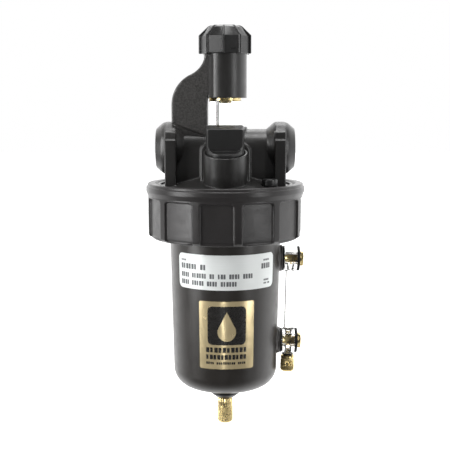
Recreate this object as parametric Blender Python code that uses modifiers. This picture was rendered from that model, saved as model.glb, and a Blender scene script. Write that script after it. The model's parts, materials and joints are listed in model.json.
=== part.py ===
"""Pipe-mounted compressed-air oil-mist lubricator with a metal bowl.

Z is the bowl's axis, and the world origin is at the foot of the drain knob. Pieces are placed with
heights measured from the port axis, and assembly_frame lifts them all at the end. The ports face -X
and +X, the fill plug is on the front (-Y) and the level gauge is on the right (+X). All sizes are in
millimetres, and MM turns them into Blender's metres.
"""

import math

import bmesh
import bpy
from mathutils import Matrix, Vector

MM = 0.001
MERGE = 1e-5  # metres

# Driving dimensions -------------------------------------------------------------------------------
PORT_FACE = 47.25  # half of the face-to-face length of the head
PORT_BORE = 10.2
PORT_BOSS = 18.0
PORT_FACE_RIM = 13.0
PASSAGE = 8.0
WEB_HALF = 13.0  # half thickness of the cast web, and the radius of its rounded top
NECK = 14.6
NECK_BORE = 11.4
NECK_BOTTOM = 34.0
NECK_TOP = 66.0
GLASS_SEAT = 14.5
ARM_HALF = 13.2

DECK_TOP = -25.5
DECK_UNDER = -33.0
SKIRT_BOTTOM = -48.5
SKIRT = 46.6
CAVITY = 39.5

RING_TOP = -23.5
RING_BOTTOM = -61.0
RING_RIM = 54.5
RING_RIB = 53.3
RING_PANEL = 51.4
RING_BORE = 47.0
RING_LIP = 38.9
RING_RIBS = 12
RING_STEPS = 60

BOWL_TOP = -49.1
BOWL_FLANGE = 46.2
BOWL_FLANGE_BOTTOM = -55.5
BOWL_UPPER = 38.2
BOWL_LOWER = 36.2
BOWL_TAPER_END = -153.6
BOWL_BASE = -165.6
BOWL_CORNER = 12.0
BOWL_WALL = 2.6
BOWL_BOSS_BOTTOM = -171.5
DRAIN_HOLE = 5.2
DRAIN_KNOB_BOTTOM = -195.2

KNOB = 17.5
KNOB_PANEL = 16.7
KNOB_BOTTOM = 63.5
KNOB_SHOULDER = 75.5
KNOB_TOP = 82.5
KNOB_RIBS = 9
KNOB_STEPS = 45

FILL_TILT = math.radians(15)
FILL_RIM = (0.0, -30.0, -1.4)  # centre of the fill collar's rim
COLLAR = 14.5
FILL_BORE = 10.3
PLUG = 12.5

GAUGE_BOLT_SPAN = 58.7
GAUGE_DISC = 8.75
GAUGE_UPPER_Z = -76.7
GAUGE_SEAT_X = 39.7

SIPHON_X = -24.0
SIPHON_Y = 10.6
PIN_X = -20.0
PIN_Z = 4.8
VENT_X = 29.6
VENT_Y = -22.3

parts = bpy.data.collections.new("oil_mist_lubricator")
cutters = bpy.data.collections.new("cutters")


# Modelling helpers ----------------------------------------------------------------------------------
def clear_scene():
    for obj in list(bpy.data.objects):
        bpy.data.objects.remove(obj)
    bpy.context.scene.collection.children.link(parts)
    bpy.context.scene.collection.children.link(cutters)


def material(name, colour, roughness, metallic=0.0, transmission=0.0):
    made = bpy.data.materials.new(name)
    made.use_nodes = True
    shader = made.node_tree.nodes["Principled BSDF"]
    shader.inputs["Base Color"].default_value = (*colour, 1.0)
    shader.inputs["Roughness"].default_value = roughness
    shader.inputs["Metallic"].default_value = metallic
    shader.inputs["Transmission Weight"].default_value = transmission
    return made


def add(name, mesh, finish, location=(0, 0, 0), rotation=(0, 0, 0), parent=None):
    """Puts a mesh in the scene. finish None makes it a helper that only cuts or joins."""
    obj = bpy.data.objects.new(name, mesh)
    obj.location = Vector(location) * MM
    obj.rotation_euler = rotation
    obj.parent = parent
    if finish is None:
        cutters.objects.link(obj)
        obj.hide_render = True
        obj.display_type = "WIRE"
    else:
        parts.objects.link(obj)
        mesh.materials.append(finish)
    return obj


def axis_frame(name, location, rotation=(0, 0, 0)):
    """An empty whose Z is the axis that its children turn or slide on."""
    empty = bpy.data.objects.new(name, None)
    empty.location = Vector(location) * MM
    empty.rotation_euler = rotation
    parts.objects.link(empty)
    return empty


def turned(name, profile, finish, steps=24, **place):
    """A solid of revolution about local Z. The (radius, height) profile runs down its outer side."""
    count = len(profile)
    edges = [(i, i + 1) for i in range(count - 1)]
    if profile[0][0] > 0:
        edges.append((count - 1, 0))
    mesh = bpy.data.meshes.new(name)
    mesh.from_pydata([(r * MM, 0, z * MM) for r, z in profile], edges, [])
    obj = add(name, mesh, finish, **place)
    screw = obj.modifiers.new("Turn", "SCREW")
    screw.angle = 2 * math.pi
    screw.steps = steps
    screw.render_steps = steps
    screw.use_merge_vertices = True
    screw.merge_threshold = MERGE
    return obj


def tube(name, outer, inner, low, high, finish, steps=24, **place):
    profile = [(outer, high), (outer, low), (inner, low), (inner, high)]
    return turned(name, profile, finish, steps, **place)


def seal(name, major, minor, finish, height=0.0, steps=20, **place):
    """An O-ring whose cord is centred at a height on local Z."""
    sides = 6
    angles = [math.pi / 2 - 2 * math.pi * i / sides for i in range(sides)]
    profile = [(major + minor * math.cos(a), height + minor * math.sin(a)) for a in angles]
    return turned(name, profile, finish, steps, **place)


def rod(name, start, end, radius, finish=None, sides=24, parent=None):
    """A cylinder between two points."""
    start, end = Vector(start), Vector(end)
    depth = (end - start).length * MM
    mesh = bpy.data.meshes.new(name)
    bm = bmesh.new()
    size = radius * MM
    bmesh.ops.create_cone(bm, cap_ends=True, segments=sides, radius1=size, radius2=size, depth=depth)
    bm.to_mesh(mesh)
    bm.free()
    turn = (end - start).to_track_quat("Z", "Y").to_euler()
    return add(name, mesh, finish, (start + end) / 2, turn, parent)


def block(name, low, high, finish=None, **place):
    low, high = Vector(low) * MM, Vector(high) * MM
    mesh = bpy.data.meshes.new(name)
    bm = bmesh.new()
    bmesh.ops.create_cube(bm, size=1.0)
    bmesh.ops.scale(bm, vec=high - low, verts=bm.verts)
    bmesh.ops.translate(bm, vec=(low + high) / 2, verts=bm.verts)
    bm.to_mesh(mesh)
    bm.free()
    return add(name, mesh, finish, **place)


def plate(name, outline, thickness, finish=None, location=(0, 0, 0), rotation=(0, 0, 0)):
    """A flat outline in local XY, thickened both ways along local Z, as a closed mesh."""
    curve = bpy.data.curves.new(name, "CURVE")
    curve.dimensions = "2D"
    curve.fill_mode = "BOTH"
    curve.extrude = thickness / 2 * MM
    spline = curve.splines.new("POLY")
    spline.points.add(len(outline) - 1)
    for point, (x, y) in zip(spline.points, outline):
        point.co = (x * MM, y * MM, 0, 1)
    spline.use_cyclic_u = True
    guide = bpy.data.objects.new(name + "_outline", curve)
    cutters.objects.link(guide)
    bpy.context.view_layer.update()
    graph = bpy.context.evaluated_depsgraph_get()
    mesh = bpy.data.meshes.new_from_object(guide.evaluated_get(graph))
    bpy.data.objects.remove(guide)
    bm = bmesh.new()
    bm.from_mesh(mesh)
    bmesh.ops.remove_doubles(bm, verts=bm.verts, dist=MERGE)
    bmesh.ops.recalc_face_normals(bm, faces=bm.faces)
    bm.to_mesh(mesh)
    bm.free()
    return add(name, mesh, finish, location, rotation)


def sectors(name, profile, starts, sweep, steps, finish=None, **place):
    """Closed arcs about local Z: the (radius, height) profile spun through sweep from each start."""
    bm = bmesh.new()
    for start in starts:
        turn = Matrix.Rotation(math.radians(start), 4, "Z")
        verts = [bm.verts.new(turn @ (Vector((r, 0, z)) * MM)) for r, z in profile]
        face = bm.faces.new(verts)
        geometry = verts + list(face.edges) + [face]
        sweep_angle = math.radians(sweep)
        bmesh.ops.spin(bm, geom=geometry, axis=(0, 0, 1), cent=(0, 0, 0), angle=sweep_angle, steps=steps)
    bmesh.ops.recalc_face_normals(bm, faces=bm.faces)
    mesh = bpy.data.meshes.new(name)
    bm.to_mesh(mesh)
    bm.free()
    return add(name, mesh, finish, **place)


def arc(centre_x, centre_y, radius, first, last, steps):
    """Points on an arc, angles in degrees."""
    angles = [math.radians(first + (last - first) * i / steps) for i in range(steps + 1)]
    return [(centre_x + radius * math.cos(a), centre_y + radius * math.sin(a)) for a in angles]


def combine(obj, operation, tools):
    for tool in tools:
        boolean = obj.modifiers.new(operation.title(), "BOOLEAN")
        boolean.operation = operation
        boolean.object = tool
        boolean.solver = "EXACT"


def join(obj, *tools):
    combine(obj, "UNION", tools)


def cut(obj, *tools):
    combine(obj, "DIFFERENCE", tools)


# Orientations that turn a piece's local Z onto a world axis.
TOWARDS_X = (0, math.radians(90), 0)
AWAY_FROM_X = (0, math.radians(-90), 0)
OUTLINE_IN_XZ = (math.radians(90), 0, 0)
OUTLINE_IN_YZ = (math.radians(90), 0, math.radians(90))


# Finishes -------------------------------------------------------------------------------------------
def make_finishes():
    return {
        "coated": material("black_coated_metal", (0.022, 0.022, 0.024), 0.5),
        "nylon": material("black_nylon", (0.028, 0.028, 0.03), 0.45),
        "rubber": material("black_rubber", (0.012, 0.012, 0.012), 0.8),
        "brass": material("brass", (0.78, 0.57, 0.25), 0.25, 1.0),
        "bronze": material("sintered_bronze", (0.55, 0.38, 0.2), 0.7, 1.0),
        "steel": material("steel", (0.6, 0.6, 0.61), 0.3, 1.0),
        "clear": material("clear_glass", (0.97, 0.98, 0.97), 0.03, 0.0, 1.0),
        "natural": material("natural_nylon", (0.86, 0.85, 0.78), 0.4, 0.0, 0.3),
        "silver": material("silver_plate", (0.78, 0.8, 0.81), 0.35, 0.3),
        "gold": material("gold_plate", (0.72, 0.56, 0.28), 0.3, 1.0),
    }


# Head -----------------------------------------------------------------------------------------------
def head_casting(finish):
    """Ports, web, gooseneck arm, neck, fill collar, deck and skirt, cast and machined in one piece."""
    deck = [
        (0, DECK_TOP), (44.5, DECK_TOP), (44.5, -24.2), (SKIRT, -24.2), (SKIRT, SKIRT_BOTTOM),
        (44.6, SKIRT_BOTTOM), (44.6, -46), (41, -46), (41, SKIRT_BOTTOM), (CAVITY, SKIRT_BOTTOM),
        (CAVITY, DECK_UNDER), (0, DECK_UNDER),
    ]
    head = turned("head_casting", deck, finish, RING_STEPS)
    web_foot = DECK_TOP - 1.5

    web = [(-WEB_HALF, web_foot)] + arc(0, 0, WEB_HALF, 180, 0, 16) + [(WEB_HALF, web_foot)]
    join(head, plate("web", web, 66, rotation=OUTLINE_IN_YZ))

    boss = [(0, PORT_FACE)]
    for i in range(6):
        angle = math.radians(90 * i / 5)
        reach = 39.5 + (PORT_FACE - 39.5) * math.cos(angle)
        boss.append((PORT_FACE_RIM + (PORT_BOSS - PORT_FACE_RIM) * math.sin(angle), reach))
    boss += [(PORT_BOSS, 33.5), (WEB_HALF - 0.4, 28), (0, 28)]
    for side, turn in (("outlet", TOWARDS_X), ("inlet", AWAY_FROM_X)):
        sign = 1 if side == "outlet" else -1
        low, high = sorted((32 * sign, 41 * sign))
        join(head, turned(side + "_boss", boss, None, 32, rotation=turn))
        join(head, block(side + "_end_wall", (low, -17.1, web_foot), (high, 17.1, 5.5)))

    pad_top = 4.5
    corner = 6.0
    half = 17.0
    pad = [(-half, web_foot)] + arc(-half + corner, pad_top - corner, corner, 180, 90, 4)
    pad += arc(half - corner, pad_top - corner, corner, 90, 0, 4) + [(half, web_foot)]
    join(head, plate("fill_pad", pad, 39, location=(0, -2.5, 0), rotation=OUTLINE_IN_XZ))
    join(head, rod("glass_seat_boss", (0, 0, -5), (0, 0, GLASS_SEAT), 15, sides=32))

    arm = [(-34.6, 8)] + arc(-13.1, 30.6, 21.5, 180, 106, 8) + arc(-21.3, 59.2, 7.9, -73, 0, 5)
    arm += [(-13.4, 61), (0, 61), (0, NECK_BOTTOM + 1), (-11.8, NECK_BOTTOM + 1), (-11.8, 8)]
    join(head, plate("gooseneck", arm, 2 * ARM_HALF, rotation=OUTLINE_IN_XZ))
    join(head, rod("neck", (0, 0, NECK_BOTTOM), (0, 0, NECK_TOP), NECK, sides=40))

    fill_frame = axis_frame("fill_collar_axis", FILL_RIM, (FILL_TILT, 0, 0))
    join(head, rod("fill_collar", (0, 0, -28), (0, 0, 0), COLLAR, sides=40, parent=fill_frame))

    for sign in (-1, 1):
        cut(head, rod("port_bore", (27 * sign, 0, 0), (50 * sign, 0, 0), PORT_BORE, sides=32))
    cut(head, rod("air_passage", (-29, 0, 0), (29, 0, 0), PASSAGE))
    cut(head, rod("glass_socket", (0, 0, 9.6), (0, 0, 20), NECK_BORE, sides=32))
    cut(head, rod("neck_bore", (0, 0, 30), (0, 0, 70), NECK_BORE, sides=32))
    cut(head, rod("drip_hole", (4, 0, 5), (4, 0, 12), 1.5, sides=10))
    cut(head, rod("oil_riser", (SIPHON_X, SIPHON_Y, -31), (SIPHON_X, SIPHON_Y, 46), 1.6, sides=8))
    cut(head, rod("oil_gallery", (SIPHON_X - 1, SIPHON_Y + 0.4, 45.5), (-8, 3.5, 45.5), 1.3, sides=8))
    cut(head, rod("siphon_socket", (SIPHON_X, SIPHON_Y, -36), (SIPHON_X, SIPHON_Y, -29), 3.4, sides=16))
    cut(head, rod("plug_recess", (0, 0, -4), (0, 0, 9), PLUG + 0.5, sides=32, parent=fill_frame))
    cut(head, rod("fill_bore", (0, 0, -42), (0, 0, -2), FILL_BORE, sides=32, parent=fill_frame))
    cut(head, rod("vent_hole", (VENT_X, VENT_Y, -36), (VENT_X, VENT_Y, -20), 2.3, sides=12))
    cut(head, rod("vane_pin_hole", (PIN_X, -9, PIN_Z), (PIN_X, 9, PIN_Z), 1.1, sides=10))
    return head


def sight_feed(finish):
    """The glass drip chamber with its two seals and the brass drip nozzle."""
    tube("sight_glass", 11.0, 4.9, 11.8, 39.6, finish["clear"], 32)
    seal("sight_glass_lower_seal", 9.0, 0.75, finish["rubber"], 10.7)
    seal("sight_glass_upper_seal", 8.8, 0.65, finish["rubber"], 40.6)
    nozzle = [(7.3, 41.2), (7.3, 40.1), (4.4, 40.1), (4.4, 32.2), (2.4, 30.4), (1.3, 30.4), (1.3, 41.2)]
    turned("drip_nozzle", nozzle, finish["brass"], 16)


def drip_control(finish):
    """The knob turns in place; its inner thread raises the needle, which doesn't turn."""
    bushing = [
        (13.8, 68), (13.8, 66.3), (11.0, 66.3), (11.0, 48.5), (8.0, 48.5), (8.0, 43.5), (11.0, 43.5),
        (11.0, 41.6), (2.7, 41.6), (2.7, 50), (3.8, 50), (3.8, 52.2), (2.7, 52.2), (2.7, 72.5),
        (5.0, 72.5), (5.0, 71.2), (4.3, 71.2), (4.3, 70.0), (5.0, 70.0), (5.0, 68),
    ]
    body = turned("metering_bushing", bushing, finish["brass"], 20)
    cut(body, rod("bushing_oil_port", (-9.5, 0, 46), (0, 0, 46), 1.0, sides=8))
    needle = [(0, 76.2), (1.9, 76.2), (1.9, 44), (0.6, 40.6), (0, 40.6)]
    turned("metering_needle", needle, finish["brass"], 12)
    seal("needle_seal", 2.85, 0.6, finish["rubber"], 51.1, 12)
    tube("knob_retaining_ring", 7.4, 4.6, 70.3, 70.9, finish["steel"], 20)

    shell = [
        (0, KNOB_TOP), (11.8, KNOB_TOP), (14.2, 80.7), (KNOB, KNOB_SHOULDER), (KNOB, KNOB_BOTTOM),
        (15.0, KNOB_BOTTOM), (15.0, 76.0), (9.0, 76.0), (9.0, 68.6), (5.4, 68.6), (5.4, 69.9), (7.7, 69.9),
        (7.7, 71.3), (5.4, 71.3), (5.4, 73.2), (2.4, 73.2), (2.4, 79.0), (0, 79.0),
    ]
    turn = (0, 0, math.radians(5))
    knob = turned("adjusting_knob", shell, finish["nylon"], KNOB_STEPS, rotation=turn)
    pocket = [
        (KNOB_PANEL, 60), (KNOB_PANEL, KNOB_SHOULDER - 0.5), (12.9, 80.4), (10.5, 84.5), (26, 84.5),
        (26, 60),
    ]
    pitch = 360 / KNOB_RIBS
    starts = [29 + pitch * i for i in range(KNOB_RIBS)]
    cut(knob, sectors("knob_pockets", pocket, starts, pitch - 8, 4))


def fill_plug(finish):
    frame = axis_frame("fill_plug_axis", FILL_RIM, (FILL_TILT, 0, 0))
    body = [
        (0, 2.6), (11.4, 2.6), (PLUG, 1.6), (PLUG, -3.6), (9.8, -3.6), (9.8, -9), (8.4, -9), (8.4, -11.6),
        (9.8, -11.6), (9.8, -15), (0, -15),
    ]
    plug = turned("fill_plug", body, finish["nylon"], 32, parent=frame)
    grip = [(-9, 1.5), (-12.2, 5.5), (-12.2, 16.2), (-11.4, 17), (11.4, 17), (12.2, 16.2), (12.2, 5.5), (9, 1.5)]
    handle = plate("plug_grip", grip, 5, rotation=OUTLINE_IN_XZ)
    handle.parent = frame
    join(plug, handle)
    seal("fill_plug_seal", 9.35, 0.6, finish["rubber"], -10.3, 24, parent=frame)


def vent_screw(finish):
    frame = axis_frame("vent_screw_axis", (VENT_X, VENT_Y, DECK_TOP))
    body = [(0, 6), (4.7, 6), (5.3, 5.4), (5.3, 1.2), (2.0, 1.2), (2.0, -8.5), (0, -8.5)]
    screw = turned("vent_screw", body, finish["nylon"], 24, parent=frame)
    slot = block("vent_slot", (-6, -0.6, 4.6), (6, 0.6, 8))
    slot.parent = frame
    cut(screw, slot)
    seal("vent_screw_seal", 3.0, 0.3, finish["rubber"], 0.6, 12, parent=frame)


def flow_sensor(finish):
    """A spring-loaded vane hangs in the air passage, upstream of the venturi insert."""
    waist = [
        (7.7, 14), (7.7, -2), (6.4, -2), (4.2, 3), (4.2, 5), (6.4, 14),
    ]
    insert = turned("venturi_insert", waist, finish["natural"], 24, rotation=TOWARDS_X)
    cut(insert, rod("insert_drip_hole", (4, 0, 0), (4, 0, 9), 1.3, sides=8))
    rod("vane_pin", (PIN_X, -8.4, PIN_Z), (PIN_X, 8.4, PIN_Z), 0.8, finish["steel"], 10)
    frame = axis_frame("vane_axis", (PIN_X, 0, PIN_Z), (math.radians(90), 0, 0))
    vane = tube("flow_vane", 1.75, 1.15, -2.7, 2.7, finish["natural"], 12, parent=frame)
    flap = rod("vane_flap", (PIN_X - 0.5, 0, -0.9), (PIN_X + 0.5, 0, -0.9), 6.1, sides=24)
    cut(flap, rod("vane_relief", (PIN_X, -9, PIN_Z), (PIN_X, 9, PIN_Z), 1.45, sides=12))
    join(vane, flap)
    turns = 3
    points = turns * 10
    coil = bpy.data.curves.new("vane_spring", "CURVE")
    coil.dimensions = "3D"
    coil.bevel_depth = 0.14 * MM
    coil.bevel_resolution = 0
    coil.use_fill_caps = True
    spline = coil.splines.new("POLY")
    spline.points.add(points)
    for i, point in enumerate(spline.points):
        angle = 2 * math.pi * turns * i / points
        along = 3.1 + 1.1 * i / points
        reach = 1.3
        x = PIN_X + reach * math.cos(angle)
        point.co = (x * MM, along * MM, (PIN_Z + reach * math.sin(angle)) * MM, 1)
    spring = bpy.data.objects.new("vane_spring", coil)
    parts.objects.link(spring)
    coil.materials.append(finish["steel"])


def siphon(finish):
    """Oil pick-up: tube, ball check and strainer. All but the ball hang from the head."""
    place = {"location": (SIPHON_X, SIPHON_Y, 0)}
    tube("siphon_tube", 3.0, 1.8, -147.0, -29.5, finish["natural"], 16, **place)
    cage = [
        (4.2, -143), (4.2, -154), (1.3, -154), (1.3, -152), (2.7, -152), (2.7, -147.3), (3.3, -147.3),
        (3.3, -143),
    ]
    turned("siphon_cage", cage, finish["brass"], 16, **place)
    strainer = [(0, -155.2), (4.5, -155.2), (4.5, -148), (5.0, -148), (5.0, -157), (0, -157)]
    turned("siphon_strainer", strainer, finish["bronze"], 16, **place)
    bm = bmesh.new()
    bmesh.ops.create_uvsphere(bm, u_segments=12, v_segments=8, radius=2.1 * MM)
    mesh = bpy.data.meshes.new("siphon_check_ball")
    bm.to_mesh(mesh)
    bm.free()
    add("siphon_check_ball", mesh, finish["steel"], (SIPHON_X, SIPHON_Y, -149.95))

    baffle = tube("splash_baffle", 33.0, 4.0, -63.5, -62.0, finish["natural"], 32)
    cut(baffle, rod("baffle_tube_hole", (SIPHON_X, SIPHON_Y, -66), (SIPHON_X, SIPHON_Y, -60), 3.3, sides=16))
    windows = 5
    for i in range(windows):
        angle = math.radians(210 + 60 * i)
        x, y = 19 * math.cos(angle), 19 * math.sin(angle)
        cut(baffle, rod("baffle_window", (x, y, -66), (x, y, -60), 6.0, sides=12))


# Ring and bowl --------------------------------------------------------------------------------------
def clamp_ring(finish):
    profile = [
        (RING_BORE + 0.1, -25.4), (48.6, RING_TOP), (52.0, RING_TOP), (53.8, -24.3), (RING_RIM, -26.2),
        (RING_RIM, -30.6), (RING_RIB, -31.8), (RING_RIB, -58.4), (51.2, RING_BOTTOM), (RING_LIP, RING_BOTTOM),
        (RING_LIP, -57.0), (RING_BORE, -57.0),
    ]
    ring = turned("clamp_ring", profile, finish["nylon"], RING_STEPS)
    pocket = [(RING_PANEL, -64), (RING_PANEL, -32.4), (60, -32.4), (60, -64)]
    pitch = 360 / RING_RIBS
    starts = [12 + pitch * i for i in range(RING_RIBS)]
    cut(ring, sectors("ring_pockets", pocket, starts, pitch - 6, 4))
    seal("bowl_seal", 42.8, 1.1, finish["rubber"], -47.5, 40)
    tube("ring_slip_washer", 46.2, 39.2, -56.7, -55.8, finish["natural"], 40)


def gauge_axis():
    """The gauge leans with the bowl's side. Its local X points out of the bowl, and Z up."""
    lean = math.atan((BOWL_UPPER - BOWL_LOWER) / (-57.0 - BOWL_TAPER_END))
    return axis_frame("gauge_axis", (GAUGE_SEAT_X, 0, GAUGE_UPPER_Z), (0, lean, 0))


def bowl(finish, gauge):
    base_inner = BOWL_BASE + BOWL_WALL
    corner_r = BOWL_LOWER - BOWL_CORNER
    corner_z = BOWL_BASE + BOWL_CORNER
    inner_corner = BOWL_CORNER - BOWL_WALL
    outer = [
        (BOWL_FLANGE, BOWL_TOP), (BOWL_FLANGE, BOWL_FLANGE_BOTTOM), (BOWL_UPPER, BOWL_FLANGE_BOTTOM),
        (BOWL_UPPER, -57.0),
    ]
    outer += arc(corner_r, corner_z, BOWL_CORNER, 0, -90, 5)
    outer += [(10.3, -166.8), (10.0, BOWL_BOSS_BOTTOM), (DRAIN_HOLE, BOWL_BOSS_BOTTOM)]
    inner = [(DRAIN_HOLE, base_inner)] + arc(corner_r, corner_z, inner_corner, -90, 0, 4)
    inner += [(BOWL_UPPER - BOWL_WALL, -57.0), (BOWL_UPPER - BOWL_WALL, BOWL_TOP)]
    shell = turned("bowl", outer + inner, finish["coated"], 40)
    for height in (0, -GAUGE_BOLT_SPAN):
        join(shell, rod("gauge_pad", (-4.3, 0, height), (0, 0, height), 9.2, sides=24, parent=gauge))
    for height in (0, -GAUGE_BOLT_SPAN):
        cut(shell, rod("gauge_hole", (-9, 0, height), (3, 0, height), 3.2, sides=16, parent=gauge))


def bowl_outer(height):
    """The bowl's outside radius where its side tapers."""
    share = (-57.0 - height) / (-57.0 - BOWL_TAPER_END)
    return BOWL_UPPER + (BOWL_LOWER - BOWL_UPPER) * share


def label(name, top, bottom, half_angle, finish):
    """A thin plate that wraps the bowl's front, a hair clear of the paint."""
    gap, thick = 0.3, 0.35
    high, low = bowl_outer(top), bowl_outer(bottom)
    profile = [(high + gap, top), (high + gap + thick, top), (low + gap + thick, bottom), (low + gap, bottom)]
    centre = -90 + 1.5
    sectors(name, profile, [centre - half_angle], 2 * half_angle, 20, finish)


def level_gauge(finish, gauge):
    """A clear column on the bowl's side, held by two hollow bolts, with a drain plug at its foot."""
    turn = TOWARDS_X
    column_x = 5.85
    lower = -GAUGE_BOLT_SPAN
    body = tube("gauge_column", GAUGE_DISC, 3.3, 1.5, 10.2, finish["clear"], 20, rotation=turn, parent=gauge)
    low_disc = tube("gauge_low_disc", GAUGE_DISC, 3.3, 1.5, 10.2, None, 20, rotation=turn, parent=gauge)
    low_disc.location = (0, 0, lower * MM)
    join(body, low_disc)
    join(body, rod("gauge_stem", (column_x, 0, lower + 7), (column_x, 0, -7), 4.0, sides=16, parent=gauge))
    join(body, rod("gauge_foot", (column_x, 0, lower - 8.9), (column_x, 0, lower - 6), 4.3, sides=16, parent=gauge))
    cut(body, rod("gauge_bore", (column_x, 0, lower - 12), (column_x, 0, 1), 2.5, sides=12, parent=gauge))
    for place, height in (("upper", 0), ("lower", lower)):
        spot = {"location": (0, 0, height), "rotation": turn, "parent": gauge}
        tube(f"gauge_{place}_inner_seal", 8.6, 3.4, 0.3, 1.2, finish["rubber"], 20, **spot)
        tube(f"gauge_{place}_outer_seal", 8.6, 3.4, 10.5, 12.0, finish["rubber"], 20, **spot)
        shank = [(0, 13.5), (2.9, 13.5), (2.9, -4.9), (1.3, -4.9), (1.3, 5.85), (0, 5.85)]
        bolt = turned(f"gauge_{place}_bolt", shank, finish["brass"], 16, **spot)
        head = tube("bolt_head", 5.4, 1.0, 12.3, 14.7, None, 6, **spot)
        cap = rod("bolt_cap", (12.5, 0, height), (14.4, 0, height), 2.0, sides=8, parent=gauge)
        join(bolt, head, cap)
    plug_axis = axis_frame("gauge_drain_axis", (column_x, 0, lower - 8.9))
    plug_axis.parent = gauge
    plug = [
        (0, 5.0), (2.0, 5.0), (2.0, -2.0), (4.9, -2.0), (4.9, -12.3), (4.1, -13.1), (1.2, -13.1), (1.2, -6),
        (0, -6),
    ]
    turned("gauge_drain_plug", plug, finish["brass"], 20, parent=plug_axis)
    seal("gauge_drain_seal", 3.4, 0.55, finish["rubber"], -1.0, 16, parent=plug_axis)


def bowl_drain(finish):
    """Gasketed brass fitting through the bowl's base, its nut outside, and a screw-down drain knob."""
    tube("drain_gasket", 8.4, 5.5, -162.7, -161.7, finish["rubber"], 24)
    fitting = [
        (8.2, -158.2), (8.2, -161.4), (4.8, -161.4), (4.8, -176.5), (3.0, -176.5), (3.0, -163.4),
        (1.5, -162.2), (1.5, -158.2),
    ]
    turned("drain_fitting", fitting, finish["brass"], 20)
    nut = [(10.3, -171.9), (10.3, -173.3), (9.2, -174.9), (6.8, -176.2), (5.2, -176.2), (5.2, -171.9)]
    turned("drain_nut", nut, finish["nylon"], 24)
    knob = [
        (0, -162.6), (0.9, -162.6), (2.4, -164.2), (2.4, -171.2), (1.5, -171.2), (1.5, -173.4), (2.4, -173.4),
        (2.4, -177), (5.4, -177), (5.4, -194.2), (4.5, DRAIN_KNOB_BOTTOM), (0.9, DRAIN_KNOB_BOTTOM), (0.9, -167), (0, -167),
    ]
    stem = turned("drain_knob", knob, finish["brass"], 20)
    cut(stem, rod("drain_cross_hole", (-4, 0, -168.5), (4, 0, -168.5), 0.7, sides=8))
    seal("drain_seal", 2.25, 0.4, finish["rubber"], -172.3, 12)


def main():
    clear_scene()
    finish = make_finishes()
    head_casting(finish["coated"])
    sight_feed(finish)
    drip_control(finish)
    fill_plug(finish)
    vent_screw(finish)
    flow_sensor(finish)
    siphon(finish)
    clamp_ring(finish)
    gauge = gauge_axis()
    bowl(finish, gauge)
    label("rating_plate", -68.5, -92.0, 55.7, finish["silver"])
    label("name_plate", -99.5, -145.8, 30.0, finish["gold"])
    level_gauge(finish, gauge)
    bowl_drain(finish)
    assembly = axis_frame("assembly_frame", (0, 0, -DRAIN_KNOB_BOTTOM))
    for obj in [*parts.objects, *cutters.objects]:
        if obj.parent is None and obj is not assembly:
            obj.parent = assembly
        if obj.type == "MESH":
            obj.data.shade_smooth()


main()
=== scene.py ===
import json
import math

import bmesh
import bpy
import numpy as np
from mathutils import Matrix, Vector

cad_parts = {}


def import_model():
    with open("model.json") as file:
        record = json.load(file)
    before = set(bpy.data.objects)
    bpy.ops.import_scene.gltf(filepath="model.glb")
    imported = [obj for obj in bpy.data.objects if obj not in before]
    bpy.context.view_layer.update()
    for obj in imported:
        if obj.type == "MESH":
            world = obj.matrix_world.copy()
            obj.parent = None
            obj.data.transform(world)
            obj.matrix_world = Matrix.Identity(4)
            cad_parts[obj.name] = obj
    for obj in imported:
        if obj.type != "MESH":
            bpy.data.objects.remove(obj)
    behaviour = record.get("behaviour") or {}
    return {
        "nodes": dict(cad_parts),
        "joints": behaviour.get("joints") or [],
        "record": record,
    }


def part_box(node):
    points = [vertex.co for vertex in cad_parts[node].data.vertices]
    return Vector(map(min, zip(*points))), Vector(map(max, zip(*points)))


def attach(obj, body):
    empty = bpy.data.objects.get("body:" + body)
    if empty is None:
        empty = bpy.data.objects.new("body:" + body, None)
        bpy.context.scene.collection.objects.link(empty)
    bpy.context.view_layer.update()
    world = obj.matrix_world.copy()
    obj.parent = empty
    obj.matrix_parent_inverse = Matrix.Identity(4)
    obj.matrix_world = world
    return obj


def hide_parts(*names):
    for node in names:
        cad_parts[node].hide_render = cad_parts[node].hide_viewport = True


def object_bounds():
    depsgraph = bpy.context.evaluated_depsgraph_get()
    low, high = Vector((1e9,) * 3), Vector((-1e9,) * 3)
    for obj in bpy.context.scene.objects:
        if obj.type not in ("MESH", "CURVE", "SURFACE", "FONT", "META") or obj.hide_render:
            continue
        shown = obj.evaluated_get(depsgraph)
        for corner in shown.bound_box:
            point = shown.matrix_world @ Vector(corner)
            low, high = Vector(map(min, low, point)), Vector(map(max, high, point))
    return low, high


# Looks for the compressed-air oil-mist lubricator. Sizes are in millimetres, and heights are measured
# from the port axis, as in the CAD. MM turns them into Blender's metres. Materials, lamps and camera use
# metres where they say so.
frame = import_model()
cad_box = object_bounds()

MM = 0.001
TAU = 2 * math.pi


# Places read from the CAD frame ---------------------------------------------------------------------
def world_box(node):
    low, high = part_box(node)
    return low / MM, high / MM


PORT_HEIGHT = sum(corner.z for corner in world_box("venturi_insert")) / 2
PORT_AXIS = Matrix.Translation((0, 0, PORT_HEIGHT * MM))


def extent(node):
    """A CAD node's lowest and highest corner, with heights from the port axis."""
    lift = Vector((0, 0, PORT_HEIGHT))
    low, high = world_box(node)
    return low - lift, high - lift


def joint_frame(name, flip=False):
    """A joint's place, with local Z along its axis (or against it) and X as near world X as can be."""
    joint = next(j for j in frame["joints"] if j["name"] == name)
    up = Vector(joint["axis"]).normalized() * (-1 if flip else 1)
    across = Vector((0, 1, 0)).cross(up).normalized()
    place = Matrix((across, up.cross(across), up)).transposed().to_4x4()
    place.translation = joint["pos_m"]
    return place


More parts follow.
